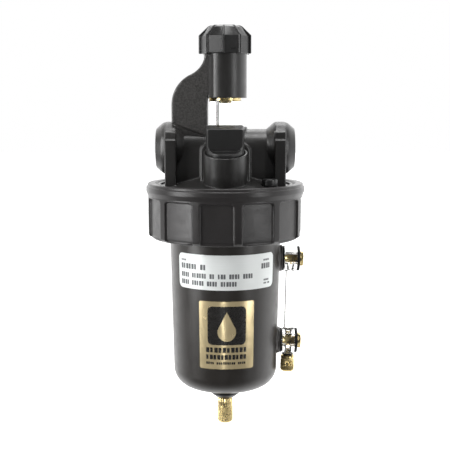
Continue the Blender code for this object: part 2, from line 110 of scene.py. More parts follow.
FILL_AXIS = joint_frame("fill_plug_turn")
VENT_AXIS = joint_frame("vent_screw_turn")
GAUGE_FOOT = joint_frame("gauge_drain_turn", flip=True)
POINTS_RIGHT = Matrix.Rotation(math.radians(90), 4, "Y")
POINTS_LEFT = Matrix.Rotation(math.radians(-90), 4, "Y")
ON_XZ = Matrix.Rotation(math.radians(90), 4, "X")
ON_YZ = Matrix.Rotation(math.radians(90), 4, "Z") @ ON_XZ


def shift(x=0, y=0, z=0):
    return Matrix.Translation((x * MM, y * MM, z * MM))


# Mesh helpers ---------------------------------------------------------------------------------------
def mesh_from(name, verts, faces):
    """A smooth mesh with doubled points merged, so that a turned skin closes at its axis."""
    mesh = bpy.data.meshes.new(name)
    mesh.from_pydata(verts, [], faces)
    bm = bmesh.new()
    bm.from_mesh(mesh)
    bmesh.ops.remove_doubles(bm, verts=bm.verts, dist=1e-7)
    bmesh.ops.recalc_face_normals(bm, faces=bm.faces)
    bm.to_mesh(mesh)
    bm.free()
    mesh.shade_smooth()
    return mesh


def filleted(corners, closed=True, edge=0.3, steps=4):
    """The points of an outline whose (x, y, fillet) corners are rounded; a bare corner gets edge."""
    points = []
    count = len(corners)
    for i, corner in enumerate(corners):
        here = Vector(corner[:2])
        size = corner[2] if len(corner) > 2 else edge
        if size == 0 or (not closed and i in (0, count - 1)):
            points.append(tuple(here))
            continue
        back = Vector(corners[i - 1][:2]) - here
        ahead = Vector(corners[(i + 1) % count][:2]) - here
        half = back.angle(ahead) / 2
        reach = min(size / math.tan(half), 0.48 * back.length, 0.48 * ahead.length)
        radius = reach * math.tan(half)
        centre = here + (back.normalized() + ahead.normalized()).normalized() * (radius / math.sin(half))
        first = (here + back.normalized() * reach - centre).normalized()
        last = (here + ahead.normalized() * reach - centre).normalized()
        for s in range(steps + 1):
            t = s / steps
            points.append(tuple(centre + (first * (1 - t) + last * t).normalized() * radius))
    return points


def spun(name, section, angles=96, closed=True):
    """A turned skin. section(angle) is its (radius, height) outline, which may change with the angle."""
    if isinstance(angles, int):
        angles = [TAU * i / angles for i in range(angles)]
    rings = [section(angle) for angle in angles]
    count = len(rings[0])
    verts = []
    for angle, ring in zip(angles, rings):
        c, s = math.cos(angle) * MM, math.sin(angle) * MM
        verts += [(r * c, r * s, z * MM) for r, z in ring]
    faces = []
    for i in range(len(angles)):
        j = (i + 1) % len(angles)
        for k in range(count if closed else count - 1):
            m = (k + 1) % count
            faces.append((i * count + k, j * count + k, j * count + m, i * count + m))
    return mesh_from(name, verts, faces)


def lathe(name, corners, edge=0.3, steps=96):
    """A turned solid from a filleted outline. An outline that starts on the axis also ends there."""
    closed = corners[0][0] > 0
    outline = filleted(corners, closed, edge)
    return spun(name, lambda angle: outline, steps, closed)


def ring_cord(name, major, minor, height):
    outline = [(major + minor * math.cos(a), height + minor * math.sin(a))
               for a in np.linspace(0, TAU, 16, endpoint=False)]
    return spun(name, lambda angle: outline, 72)


def cylinder(name, start, end, radius, sides=96):
    start, end = Vector(start), Vector(end)
    turn = (end - start).to_track_quat("Z", "Y").to_matrix().to_4x4()
    place = Matrix.Translation((start + end) / 2 * MM) @ turn
    bm = bmesh.new()
    size = radius * MM
    depth = (end - start).length * MM
    bmesh.ops.create_cone(bm, cap_ends=True, segments=sides, radius1=size, radius2=size, depth=depth)
    bmesh.ops.transform(bm, matrix=place, verts=bm.verts)
    mesh = bpy.data.meshes.new(name)
    bm.to_mesh(mesh)
    bm.free()
    return mesh


def slab(name, outline, thickness, place=Matrix.Identity(4), ease=0):
    """A flat outline in local XY, thickened both ways along local Z, its two rims rounded by ease."""
    bm = bmesh.new()
    half = thickness / 2
    face = bm.faces.new([bm.verts.new(Vector((x, y, -half)) * MM) for x, y in outline])
    grown = bmesh.ops.extrude_face_region(bm, geom=[face])["geom"]
    top = [v for v in grown if isinstance(v, bmesh.types.BMVert)]
    bmesh.ops.translate(bm, vec=(0, 0, thickness * MM), verts=top)
    bmesh.ops.recalc_face_normals(bm, faces=bm.faces)
    if ease:
        rims = [edge for edge in bm.edges if abs(edge.verts[0].co.z - edge.verts[1].co.z) < MM * 0.01]
        bmesh.ops.bevel(bm, geom=rims, offset=ease * MM, segments=3, profile=0.5, affect="EDGES",
                        clamp_overlap=True)
    bmesh.ops.transform(bm, matrix=place, verts=bm.verts)
    mesh = bpy.data.meshes.new(name)
    bm.to_mesh(mesh)
    bm.free()
    return mesh


def block(name, low, high):
    (x0, y0, z0), (x1, y1, z1) = low, high
    place = shift(z=(z0 + z1) / 2)
    return slab(name, [(x0, y0), (x1, y0), (x1, y1), (x0, y1)], z1 - z0, place)


def moved(mesh, place):
    mesh.transform(place)
    return mesh


def carved(base, adds=(), cuts=(), voxel=None, smoothing=0, keep=1.0):
    """Joins and cuts meshes, then may remesh and smooth them as one casting and keep a share of its faces."""
    helpers = []
    for mesh in (base, *adds, *cuts):
        helpers.append(bpy.data.objects.new("helper", mesh))
    for helper in helpers:
        bpy.context.scene.collection.objects.link(helper)
    body, tools = helpers[0], helpers[1:]
    for i, tool in enumerate(tools):
        boolean = body.modifiers.new("carve", "BOOLEAN")
        boolean.operation = "UNION" if i < len(adds) else "DIFFERENCE"
        boolean.object = tool
        boolean.solver = "EXACT"
    if voxel:
        remesh = body.modifiers.new("cast", "REMESH")
        remesh.mode = "VOXEL"
        remesh.voxel_size = voxel * MM
        smooth = body.modifiers.new("soften", "SMOOTH")
        smooth.factor = 0.5
        smooth.iterations = smoothing
        thin = body.modifiers.new("thin_out", "DECIMATE")
        thin.ratio = keep
    bpy.context.view_layer.update()
    graph = bpy.context.evaluated_depsgraph_get()
    mesh = bpy.data.meshes.new_from_object(body.evaluated_get(graph))
    for helper in helpers:
        bpy.data.objects.remove(helper)
    mesh.shade_smooth()
    return mesh


def piece(name, mesh, finish, body, replaced=(), place=PORT_AXIS):
    """Shows a mesh, riding on a CAD body. finish is a key of the record's material slots."""
    mesh.name = name
    obj = bpy.data.objects.new(name, mesh)
    bpy.context.scene.collection.objects.link(obj)
    obj.matrix_world = place
    mesh.materials.clear()
    mesh.materials.append(finishes[finish])
    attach(obj, body)
    if replaced:
        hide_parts(*replaced)
    return obj


# Materials ------------------------------------------------------------------------------------------
class Nodes:
    """A small builder of one material's node tree."""

    def __init__(self, name):
        self.material = bpy.data.materials.new(name)
        self.material.use_nodes = True
        self.tree = self.material.node_tree
        self.shader = self.tree.nodes["Principled BSDF"]
        self.place = self.add("ShaderNodeTexCoord").outputs["Object"]

    def add(self, kind, **settings):
        node = self.tree.nodes.new(kind)
        for key, value in settings.items():
            setattr(node, key, value)
        return node

    def join(self, source, target):
        self.tree.links.new(source, target)

    def noise(self, scale, detail=3.0, roughness=0.55, stretch=None):
        """Noise whose scale is in features per metre."""
        node = self.add("ShaderNodeTexNoise")
        node.inputs["Scale"].default_value = scale
        node.inputs["Detail"].default_value = detail
        node.inputs["Roughness"].default_value = roughness
        source = self.place
        if stretch:
            mapping = self.add("ShaderNodeMapping")
            mapping.inputs["Scale"].default_value = stretch
            self.join(source, mapping.inputs["Vector"])
            source = mapping.outputs["Vector"]
        self.join(source, node.inputs["Vector"])
        return node.outputs["Fac"]

    def ranged(self, value, low, high, start=0.3, stop=0.7):
        """Maps start..stop, by default a noise's usable middle, to low..high, and clamps it."""
        node = self.add("ShaderNodeMapRange")
        for key, number in (("From Min", start), ("From Max", stop), ("To Min", low), ("To Max", high)):
            node.inputs[key].default_value = number
        self.join(value, node.inputs["Value"])
        return node.outputs["Result"]

    def product(self, first, second):
        node = self.add("ShaderNodeMath", operation="MULTIPLY")
        self.join(first, node.inputs[0])
        self.join(second, node.inputs[1])
        return node.outputs["Value"]

    def mix(self, share, first, second):
        """Mixes two colours, each an output or a tuple. 6, 7 and 2 are the node's colour sockets."""
        node = self.add("ShaderNodeMix", data_type="RGBA")
        for socket, colour in ((6, first), (7, second)):
            if isinstance(colour, tuple):
                node.inputs[socket].default_value = (*colour, 1)
            else:
                self.join(colour, node.inputs[socket])
        self.join(share, node.inputs[0])
        return node.outputs[2]

    def bumps(self, *layers):
        """Stacks (height, strength, depth in mm) layers and feeds them to the shader's normal."""
        normal = None
        for height, strength, depth in layers:
            bump = self.add("ShaderNodeBump")
            bump.inputs["Strength"].default_value = strength
            bump.inputs["Distance"].default_value = depth * MM
            self.join(height, bump.inputs["Height"])
            if normal:
                self.join(normal, bump.inputs["Normal"])
            normal = bump.outputs["Normal"]
        self.join(normal, self.shader.inputs["Normal"])

    def edges(self, low, high):
        """Rises from 0 to 1 as the surface goes from pointiness low to high: 0.5 is flat, more is convex."""
        pointiness = self.add("ShaderNodeNewGeometry").outputs["Pointiness"]
        return self.ranged(pointiness, 0, 1, low, high)


def scaled(colour, share):
    return tuple(min(1.0, c * share) for c in colour)


def arm_zone(n):
    """1 on the gooseneck arm, which is left as cast, and 0 elsewhere. Its limits are in metres."""
    parts = n.add("ShaderNodeSeparateXYZ")
    n.join(n.place, parts.inputs["Vector"])
    left_of_neck = n.ranged(parts.outputs["X"], 1, 0, -0.0130, -0.0085)
    above_web = n.ranged(parts.outputs["Z"], 0, 1, 0.006, 0.012)
    return n.product(left_of_neck, above_web)


def coated(name, colour, roughness, grain, grain_depth, sheen=0.5, cast_zone=None):
    """Powder coat or moulded plastic: mottled colour, orange peel, fine grain and a painted highlight on convex
    edges. cast_zone gives the share of a rougher, paler sand-cast surface at each place."""
    n = Nodes(name)
    patches = n.ranged(n.noise(45, 4), 0, 1)
    speckle = n.ranged(n.noise(grain, 2, 0.7), 0, 1, 0.35, 0.75)
    base = n.mix(patches, scaled(colour, 0.82), scaled(colour, 1.15))
    base = n.mix(n.ranged(speckle, 0, 0.35, 0, 1), base, scaled(colour, 2.1))
    # painted highlight: convex edges take a lighter copy of the colour
    base = n.mix(n.edges(0.53, 0.62), base, scaled(colour, 2.6))
    layers = [(n.noise(500, 2), 0.25, 0.05), (speckle, 0.35, grain_depth)]
    if cast_zone:
        zone = cast_zone(n)
        sand = n.ranged(n.noise(900, 3, 0.65), 0, 1, 0.35, 0.65)
        raw = n.mix(sand, scaled(colour, 1.8), scaled(colour, 4.4))
        base = n.mix(zone, base, raw)
        layers.append((n.product(zone, sand), 0.6, 0.12))
    n.join(base, n.shader.inputs["Base Color"])
    n.join(n.ranged(n.noise(160, 5), roughness - 0.05, roughness + 0.07), n.shader.inputs["Roughness"])
    n.shader.inputs["Specular IOR Level"].default_value = sheen
    n.bumps(*layers)
    return n.material


def turned_metal(name, colour, roughness, tarnish=0.7, rings=2600.0):
    """Machined metal: fine tool rings along its local Z, soft tarnish, painted shade in hollows, painted
    highlight on edges.
    """
    n = Nodes(name)
    stain = n.ranged(n.noise(220, 5), 0, 1)
    base = n.mix(stain, scaled(colour, tarnish), colour)
    # painted shade: hollows take a darker copy of the colour
    base = n.mix(n.edges(0.43, 0.5), scaled(colour, 0.4), base)
    # painted highlight: convex edges take a lighter copy of the colour
    base = n.mix(n.edges(0.52, 0.6), base, scaled(colour, 1.12))
    n.join(base, n.shader.inputs["Base Color"])
    n.shader.inputs["Metallic"].default_value = 1.0
    n.join(n.ranged(n.noise(300, 4), roughness - 0.05, roughness + 0.09), n.shader.inputs["Roughness"])
    tool = n.noise(1.0, 2, 0.6, stretch=(60.0, 60.0, rings))
    n.bumps((tool, 0.22, 0.02), (n.noise(4000, 1), 0.1, 0.01))
    return n.material


def sheet_metal(name, colour, roughness, metallic, brush):
    """Printed label stock with a fine brush along one way and faint handling marks."""
    n = Nodes(name)
    lines = n.noise(1.0, 2, 0.6, stretch=brush)
    base = n.mix(n.ranged(lines, 0, 1), scaled(colour, 0.93), colour)
    base = n.mix(n.ranged(n.noise(70, 4), 0, 0.5), base, scaled(colour, 0.9))
    n.join(base, n.shader.inputs["Base Color"])
    n.shader.inputs["Metallic"].default_value = metallic
    n.join(n.ranged(n.noise(130, 4), roughness - 0.05, roughness + 0.08), n.shader.inputs["Roughness"])
    n.bumps((lines, 0.06, 0.01))
    return n.material


def clear(name, colour, roughness, ior):
    """Clear glass or acrylic with faint smears, so that it isn't perfectly smooth."""
    n = Nodes(name)
    smear = n.noise(120, 3, 0.6, stretch=(1.0, 1.0, 0.35))
    n.shader.inputs["Base Color"].default_value = (*colour, 1)
    n.shader.inputs["Transmission Weight"].default_value = 1.0
    n.shader.inputs["IOR"].default_value = ior
    n.join(n.ranged(smear, 0, roughness), n.shader.inputs["Roughness"])
    n.bumps((n.noise(60, 1), 0.02, 0.02))
    return n.material


def matt(name, colour, roughness, grain=900.0, spread=0.15, sheen=0.4, metallic=0.0, soft=0.0):
    """Rubber, nylon, sintered metal or ink: mottled colour and a fine even grain."""
    n = Nodes(name)
    mottle = n.ranged(n.noise(grain / 6, 4), 0, 1)
    base = n.mix(mottle, scaled(colour, 1 - spread), scaled(colour, 1 + spread))
    n.join(base, n.shader.inputs["Base Color"])
    n.join(n.ranged(n.noise(grain / 3, 3), roughness - 0.06, roughness + 0.06), n.shader.inputs["Roughness"])
    n.shader.inputs["Specular IOR Level"].default_value = sheen
    n.shader.inputs["Metallic"].default_value = metallic
    n.shader.inputs["Subsurface Weight"].default_value = soft
    n.shader.inputs["Subsurface Radius"].default_value = (0.002, 0.0018, 0.0015)
    n.bumps((n.noise(grain, 2, 0.6), 0.3, 0.04))
    return n.material


BRASS = (0.76, 0.60, 0.29)
# A key is a material slot of the record, or a slot and the variant of it that one piece needs.
finishes = {
    "black_coated_metal": coated("cast_powder_coat", (0.014, 0.0135, 0.013), 0.36, 1500.0, 0.06, 0.54,
                                 arm_zone),
    "black_coated_metal/bowl": coated("bowl_satin_paint", (0.020, 0.0175, 0.0155), 0.34, 3500.0, 0.015),
    "black_nylon": coated("ring_nylon", (0.019, 0.0175, 0.0175), 0.34, 2200.0, 0.045, 0.36),
    "black_nylon/knob": coated("knob_nylon", (0.014, 0.014, 0.014), 0.28, 2500.0, 0.03, 0.36),
    "black_nylon/plug": coated("plug_nylon", (0.012, 0.012, 0.012), 0.38, 2500.0, 0.03),
    "black_rubber": matt("nitrile_rubber", (0.012, 0.012, 0.012), 0.62, 1500.0, 0.2, 0.35),
    "brass": turned_metal("turned_brass", BRASS, 0.24),
    "sintered_bronze": matt("sintered_bronze", (0.50, 0.34, 0.18), 0.6, 5000.0, 0.35, 0.5, 1.0),
    "steel": turned_metal("bright_steel", (0.62, 0.62, 0.63), 0.24, 0.85),
    "clear_glass": clear("sight_glass", (0.985, 0.995, 0.985), 0.03, 1.47),
    "clear_glass/acrylic": clear("gauge_acrylic", (0.99, 0.99, 0.98), 0.03, 1.49),
    "natural_nylon": matt("natural_nylon", (0.80, 0.78, 0.70), 0.42, 1100.0, 0.05, 0.45, 0.0, 0.2),
    "silver_plate": sheet_metal("silver_label", (0.86, 0.89, 0.88), 0.45, 0.15, (60.0, 60.0, 5000.0)),
    "gold_plate": sheet_metal("gold_label", (0.97, 0.80, 0.47), 0.2, 0.72, (2500.0, 2500.0, 40.0)),
    "silver_plate/ink": matt("grey_ink", (0.13, 0.135, 0.14), 0.45, 1800.0),
    "gold_plate/ink": matt("black_ink", (0.016, 0.015, 0.014), 0.28, 1800.0, 0.2, 0.6),
}


# Cast head ------------------------------------------------------------------------------------------
def arc(centre_x, centre_y, radius, first, last, steps=12):
    """Points on an arc, angles in degrees."""
    angles = [math.radians(first + (last - first) * i / steps) for i in range(steps + 1)]
    return [(centre_x + radius * math.cos(a), centre_y + radius * math.sin(a)) for a in angles]


PORT_FACE = extent("head_casting")[1].x
HEAD_FOOT = extent("head_casting")[0].z
WEB = 13.0  # half thickness of the web, and the radius of its rounded top
ARM = 11.4  # half thickness of the gooseneck arm
DECK = -25.5  # height of the deck at its rim
UNDER_DECK = DECK - 1.5  # where the shapes that stand on the deck start
SKIRT = 46.6  # radius of the skirt and of the rim above it
IN_HEAD = PORT_AXIS.inverted()
FILL_HOLE = ("fill_bore", (0, 0, -42), (0, 0, -2), 10.4)
VENT_HOLE = ("vent_hole", (0, 0, -12), (0, 0, 5), 2.6, 32)


def port_boss(place):
    """A boss with a wide chamfer round its face, which narrows to the web behind."""
    root = WEB - 0.4
    boss = [
        (0, PORT_FACE), (13.2, PORT_FACE, 0.6), (18, PORT_FACE - 5.5, 6.5), (18, PORT_FACE - 13.5, 3),
        (root, PORT_FACE - 19.5, 4), (root, 24), (0, 24),
    ]
    return moved(lathe("boss", boss), place)


def gooseneck():
    """The arm over the inlet: its outer edge is an S of two arcs, and its foot slopes to the web."""
    outer = [(-36.2, 17)]
    outer += arc(-14.0, 29.4, 22.2, 180, 114, 12)
    outer += arc(-29.6, 64.3, 16.0, -64, -5, 9)
    inner = [(-12.4, 62.9), (0, 62.9), (0, 35), (-11.8, 35), (-11.8, 8.2)]
    return outer + inner


def end_walls():
    """A flat wall round each port, made of a wide low slab and a narrower, higher one in the same plane."""
    inner, outer = 32.9, 40.6  # distances of its two faces from the middle
    walls = []
    for side in (-1, 1):
        for half, top in ((18.6, 6.6), (17.0, 11.9)):
            corners = [(-half, UNDER_DECK, 0), (-half, top, 1.6), (half, top, 1.6), (half, UNDER_DECK, 0)]
            place = shift(x=(inner + outer) / 2 * side) @ ON_YZ
            walls.append(slab("end_wall", filleted(corners), outer - inner, place, ease=0.6))
    return walls


def head():
    """The casting above the rim, joined from simple solids, bored, and then softened as one skin."""
    fill = IN_HEAD @ FILL_AXIS
    vent = IN_HEAD @ VENT_AXIS
    web = [(-WEB, UNDER_DECK)] + arc(0, 0, WEB, 180, 0, 32) + [(WEB, UNDER_DECK)]
    pad = filleted([(-17, UNDER_DECK, 0), (-17, 4.5, 6), (17, 4.5, 6), (17, UNDER_DECK, 0)])
    arm_to_neck = [(-11.2, -ARM), (-7.9, -12.3), (-7.9, 12.3), (-11.2, ARM)]
    dome = [(0, DECK + 8.4), (18, DECK + 7.2, 10), (41, DECK + 0.1, 0), (41, DECK - 3), (0, DECK - 3)]
    adds = [
        port_boss(POINTS_RIGHT),
        port_boss(POINTS_LEFT),
        slab("pad", pad, 39, shift(y=-2.5) @ ON_XZ, ease=1.6),
        cylinder("seat", (0, 0, -5), (0, 0, 14.5), 15),
        slab("arm", gooseneck(), 2 * ARM, ON_XZ, ease=1.3),
        slab("arm_to_neck", arm_to_neck, 28.5, shift(z=48.5)),
        slab("arm_root", [(-34, 0), (-34, 20), (-12, 20), (-12, 0)], 19, ON_XZ),
        cylinder("neck", (0, 0, 34), (0, 0, 66), 14.6),
        moved(cylinder("collar", (0, 0, -28), (0, 0, 0), 14.5), fill),
        cylinder("deck", (0, 0, DECK - 5), (0, 0, DECK), 44.2, 160),
        lathe("dome", dome),
        *end_walls(),
    ]
    cuts = [
        cylinder("port", (-50, 0, 0), (-27, 0, 0), 10.7),
        cylinder("port", (27, 0, 0), (50, 0, 0), 10.7),
        cylinder("passage", (-29, 0, 0), (29, 0, 0), 8),
        cylinder("glass_socket", (0, 0, 9.6), (0, 0, 20), 11.6),
        cylinder("neck_bore", (0, 0, 30), (0, 0, 70), 11.6),
        cylinder("drip_hole", (4, 0, 5), (4, 0, 12), 1.6, 24),
        moved(cylinder("plug_recess", (0, 0, -4), (0, 0, 9), 13.0), fill),
        moved(cylinder(*FILL_HOLE), fill),
        moved(cylinder(*VENT_HOLE), vent),
        moved(cylinder("spot_face", (0, 0, 0.05), (0, 0, 2.4), 5.9, 48), vent),
    ]
    mesh = carved(slab("web", web, 66, ON_YZ), adds, cuts, voxel=0.36, smoothing=3, keep=0.22)
    piece("head_body", mesh, "black_coated_metal", "head", ["head_casting"])


def head_skirt():
    """The machined rim round the deck, and the skirt inside the clamp ring."""
    rim_top, groove, bore = DECK + 1.3, 44.6, 39.5
    rim = [
        (36, DECK - 2.2), (44.1, DECK - 2.2, 0.3), (groove, rim_top, 0.5), (SKIRT, rim_top, 0.6),
        (SKIRT, HEAD_FOOT, 0.5), (groove, HEAD_FOOT), (groove, HEAD_FOOT + 2.5), (41, HEAD_FOOT + 2.5),
        (41, HEAD_FOOT), (bore, HEAD_FOOT), (bore, DECK - 7.5, 2), (20, DECK - 7.5), (20, DECK - 5.2),
        (36, DECK - 5.2, 0),
    ]
    cuts = [
        moved(cylinder(*VENT_HOLE), IN_HEAD @ VENT_AXIS),
        moved(cylinder(*FILL_HOLE), IN_HEAD @ FILL_AXIS),
    ]
    piece("head_skirt", carved(lathe("rim", rim, steps=160), cuts=cuts), "black_coated_metal", "head")


def port_threads():
    """A pipe thread inside each port: one helical ridge on a sleeve set in the casting."""
    pitch, crest, root, back = 1.8, 10.05, 10.95, 11.4
    mouth, depth = PORT_FACE - 0.9, 19.0
    foot = mouth - depth
    turns = int(depth / pitch)

    def section(angle):
        points = []
        for i in range(turns):
            top = mouth - i * pitch - pitch * (angle / TAU)
            grown = angle / TAU if i == 0 else 1.0  # the thread rises to its full height in one turn
            tip = root + (crest - root) * grown
            points += [(root, top), (tip, top - pitch * 0.45), (tip, top - pitch * 0.55)]
        return points + [(root, foot), (back, foot), (back, mouth)]

    for name, place in (("inlet_thread", POINTS_LEFT), ("outlet_thread", POINTS_RIGHT)):
        piece(name, spun(name, section, 96), "black_coated_metal", "head", place=PORT_AXIS @ place)


# Sight feed and drip control ------------------------------------------------------------------------
def sight_feed():
    low, high = extent("sight_glass")
    glass = [(high.x, high.z, 0.6), (high.x, low.z, 0.6), (4.9, low.z, 0.4), (4.9, high.z, 0.4)]
    piece("sight_glass_tube", lathe("glass", glass), "clear_glass", "head", ["sight_glass"])
    low, high = extent("drip_nozzle")
    flange_foot, face = high.z - 1.1, 31.6
    nozzle = [
        (high.x, high.z), (high.x, flange_foot), (8.4, flange_foot), (8.4, face + 0.4, 0.4), (7.6, face, 0.2),
        (4.4, face), (4.0, low.z, 0.4), (1.2, low.z, 0.2), (1.2, high.z),
    ]
    piece("drip_nozzle_tip", lathe("nozzle", nozzle, 0.2), "brass", "head", ["drip_nozzle"])
    for name, major in (("sight_glass_lower_seal", 9.0), ("sight_glass_upper_seal", 8.8)):
        low, high = extent(name)
        middle, cord = (low.z + high.z) / 2, (high.z - low.z) / 2
        piece(name + "_ring", ring_cord(name, major, cord, middle), "black_rubber", "head", [name])


def adjusting_knob():
    """Nine thin ribs stand on the corners of a nine-sided cap, and run on over its top cone."""
    low, high = extent("adjusting_knob")
    rib, flat = high.x + 0.9, high.x - 0.4
    top, shoulder, foot = high.z, 75.6, low.z
    cone, cap = 11.8, 10.2
    ribs, rib_half = 9, math.radians(3.0)
    first = math.radians(-95)  # the rib nearest the front, a little to its left
    half_facet = math.pi / ribs
    cavity = [
        (15.0, foot, 0.3), (15.0, 74.6), (9.0, 74.6), (9.0, 68.6), (5.4, 68.6), (5.4, 73.2), (2.4, 73.2),
        (2.4, 79.0), (0, 79.0),
    ]

    def section(angle):
        away = (angle - first + half_facet) % (2 * half_facet) - half_facet
        raised = math.sqrt(1 - min(1, abs(away) / rib_half) ** 2)
        facet = flat * math.cos(half_facet) / math.cos(half_facet - abs(away))
        side = facet + (rib - facet) * raised
        drop = 0.6 * (1 - raised)  # the cone between the ribs lies this much lower
        skin = [
            (0, top), (cap - 2.5, top, 1), (cap, top - 0.1 - drop, 0.9), (cone, top - 0.9 - drop, 0.8),
            (side, shoulder - drop, 0.9), (side, foot + 0.5, 0.5), (side - 0.4, foot, 0.2),
        ]
        return filleted(skin + cavity, closed=False, edge=0.2)

    half_steps = [0.6, 1.2, 1.8, 2.3, 2.7, 2.92, 3.0, 3.4, 4.6, 6, 8, 11, 14, 17]  # degrees from a rib
    steps = [-20] + [-step for step in reversed(half_steps)] + [0] + half_steps
    angles = [first + TAU * i / ribs + math.radians(step) for i in range(ribs) for step in steps]
    piece("adjusting_knob_cap", spun("knob", section, angles, closed=False), "black_nylon/knob", "knob",
          ["adjusting_knob"])


def fill_plug():
    """A round plug whose upper part is cut by two flats into a U-shaped grip."""
    rim, flat, top, heel, grip = 12.5, 5.3, 17.0, 2.2, 11.35
    shank, groove = 9.8, 8.4
    body = [
        (0, top), (rim, top, 0.9), (rim, -3.6, 0.6), (shank, -3.6), (shank, -9), (groove, -9), (groove, -11.6),
        (shank, -11.6), (shank, -15, 0.8), (0, -15),
    ]
    window = filleted([(-grip, top + 4, 0), (-grip, heel, 4.2), (grip, heel, 4.2), (grip, top + 4, 0)])
    half_cut = 10  # each cut is this deep on both sides of its middle, so it runs past the plug's rim
    cuts = []
    for side in (-1, 1):
        place = shift(y=side * (flat + half_cut)) @ ON_XZ
        cuts.append(slab("window", window, 2 * half_cut, place))
    mesh = carved(lathe("plug", body), cuts=cuts, voxel=0.3, smoothing=3, keep=0.5)
    piece("fill_plug_cap", mesh, "black_nylon/plug", "fill_plug", ["fill_plug"], FILL_AXIS)
    piece("fill_plug_o_ring", ring_cord("seal", 9.35, 0.6, -10.3), "black_rubber", "fill_seal",
          ["fill_plug_seal"], FILL_AXIS)


def vent_screw():
    """A slotted round head on a plain shank."""
    body = [(0, 6), (5.3, 6, 0.7), (5.3, 1.2, 0.3), (2.0, 1.2), (2.0, -8.5, 0.4), (0, -8.5)]
    slot = block("slot", (-6, -0.6, 4.6), (6, 0.6, 8))
    mesh = carved(lathe("vent", body), cuts=[slot])
    mesh.set_sharp_from_angle(angle=math.radians(40))
    piece("vent_screw_head", mesh, "black_nylon/plug", "vent_screw", ["vent_screw"], VENT_AXIS)
    piece("vent_screw_o_ring", ring_cord("seal", 3.0, 0.3, 0.6), "black_rubber", "vent_seal",
          ["vent_screw_seal"], VENT_AXIS)


# Clamp ring -----------------------------------------------------------------------------------------
def clamp_ring():
    """Twelve ribs between panels with rounded upper corners, under a rolled rim."""
    low, high = extent("clamp_ring")
    rim, top, foot = high.x, high.z, low.z
    rib, panel = rim - 1.2, rim - 3.1
    sectors, rib_share, corner, wall = 12, 0.19, 2.4, 0.8
    panel_top = top - 9.9
    arc_length = TAU * rib / sectors
    half_panel = arc_length * (1 - rib_share) / 2
    half_sector = math.pi / sectors
    first = math.radians(-66)  # the middle of the panel right of the front
    inner, lip = 47.1, 39.1

    def depth(along, z):
        """0 on a panel and 1 on a rib or above the panel, by distance from the panel's rounded outline."""
        across = abs(along) - (half_panel - corner)
        above = z - (panel_top - corner)
        outside = math.hypot(max(across, 0), max(above, 0)) - corner
        share = min(1, max(0, (outside + wall / 2) / wall))
        return share * share * (3 - 2 * share)

    rolled_rim = filleted([
        (inner, foot + 4.0, 0), (inner, top - 1.9, 0.4), (48.7, top, 0.9), (53.5, top, 1.5),
        (53.5, top - 1.9, 0.3), (rim - 0.1, top - 2.3, 0.7), (rim, top - 5.4, 1.8), (rib, top - 8.4, 1.2),
        (rib, top - 9.2, 0),
    ])
    underside = filleted([
        (51.3, foot + 0.9, 0), (50.2, foot, 0.5), (lip, foot, 0.5), (lip, foot + 4.0, 0.4),
        (inner, foot + 4.0, 0),
    ])
    corner_rows = [panel_top + 0.5 - 0.28 * i for i in range(14)]
    straight_rows = list(np.linspace(panel_top - corner - 1.4, foot + 3.0, 9))

    def section(angle):
        along = ((angle - first + half_sector) % (2 * half_sector) - half_sector) * rib
        crowned = panel + 0.35 - 0.8 * (1 - min(1, abs(along) / half_panel) ** 2)
        wall_rows = [(crowned + (rib - crowned) * depth(along, z), z) for z in corner_rows + straight_rows]
        last = wall_rows[-1][0]
        shoulder = [(last - 0.1, foot + 2.3), (last - 0.4, foot + 1.7)]
        return rolled_rim + wall_rows + shoulder + underside[:-1]

    half_steps = [3, 5.5, 6.8, 7.4, 8.0, 8.6, 9.2, 9.8, 10.3, 10.8, 11.2, 11.4, 11.6, 11.75, 11.9, 12.05, 12.2,
                  12.5, 13.1]  # mm from a panel's middle, close together at its edge
    steps = [-step for step in reversed(half_steps)] + [0] + half_steps
    angles = [first + TAU * i / sectors + step / rib for i in range(sectors) for step in steps]
    piece("clamp_ring_shell", spun("ring", section, angles), "black_nylon", "clamp_ring", ["clamp_ring"])


# Bowl -----------------------------------------------------------------------------------------------
BOWL_TOP_R, BOWL_FOOT_R = 38.2, 36.2
BOWL_TAPER = (-57.0, -153.6)  # heights between which the wall narrows from the top to the foot radius
BOSS_FOOT = -171.5


def bowl_radius(height):
    top, foot = BOWL_TAPER
    return BOWL_TOP_R + (BOWL_FOOT_R - BOWL_TOP_R) * (top - height) / (top - foot)


def bowl():
    high = extent("bowl")[1]
    flange, top = high.x, high.z
    flange_foot = top - 6.4
    base = BOWL_TAPER[1] - 12.0
    inside = base + 2.6
    outline = filleted([
        (flange, top, 0.5), (flange, flange_foot, 0.5), (BOWL_TOP_R + 0.2, flange_foot, 1.5),
        (BOWL_FOOT_R - 0.2, base, 13.5), (11.6, base - 1.6, 4), (10.3, BOSS_FOOT, 0.7), (5.2, BOSS_FOOT),
        (5.2, inside), (33.4, inside + 0.3, 9.5), (35.6, top, 0.4),
    ], steps=10)
    piece("bowl_shell", spun("bowl", lambda angle: outline, 144), "black_coated_metal/bowl", "bowl", ["bowl"])
    pad = [(3.4, 0, 0.2), (9.2, 0, 0.6), (9.2, -1.7, 1.6), (12.6, -4.4, 0), (3.4, -4.4, 0)]
    for name, height in gauge_heights():
        place = GAUGE_FOOT @ shift(x=-SEAT_TO_COLUMN, z=height) @ POINTS_RIGHT
        piece(f"gauge_{name}_pad", lathe("pad", pad, steps=72), "black_coated_metal/bowl", "bowl", place=place)


# Labels ---------------------------------------------------------------------------------------------
LABEL_TURN = math.radians(-90 + 1.5)  # the labels' middle, seen from above
LABEL_GAP, STOCK, INK = 0.3, 0.35, 0.05  # wall to label, thickness of a label and of its print
BLOCK_WIDTHS = (0.82, 0.7, 0.78, 0.6)  # of a line's pitch, taken in turn


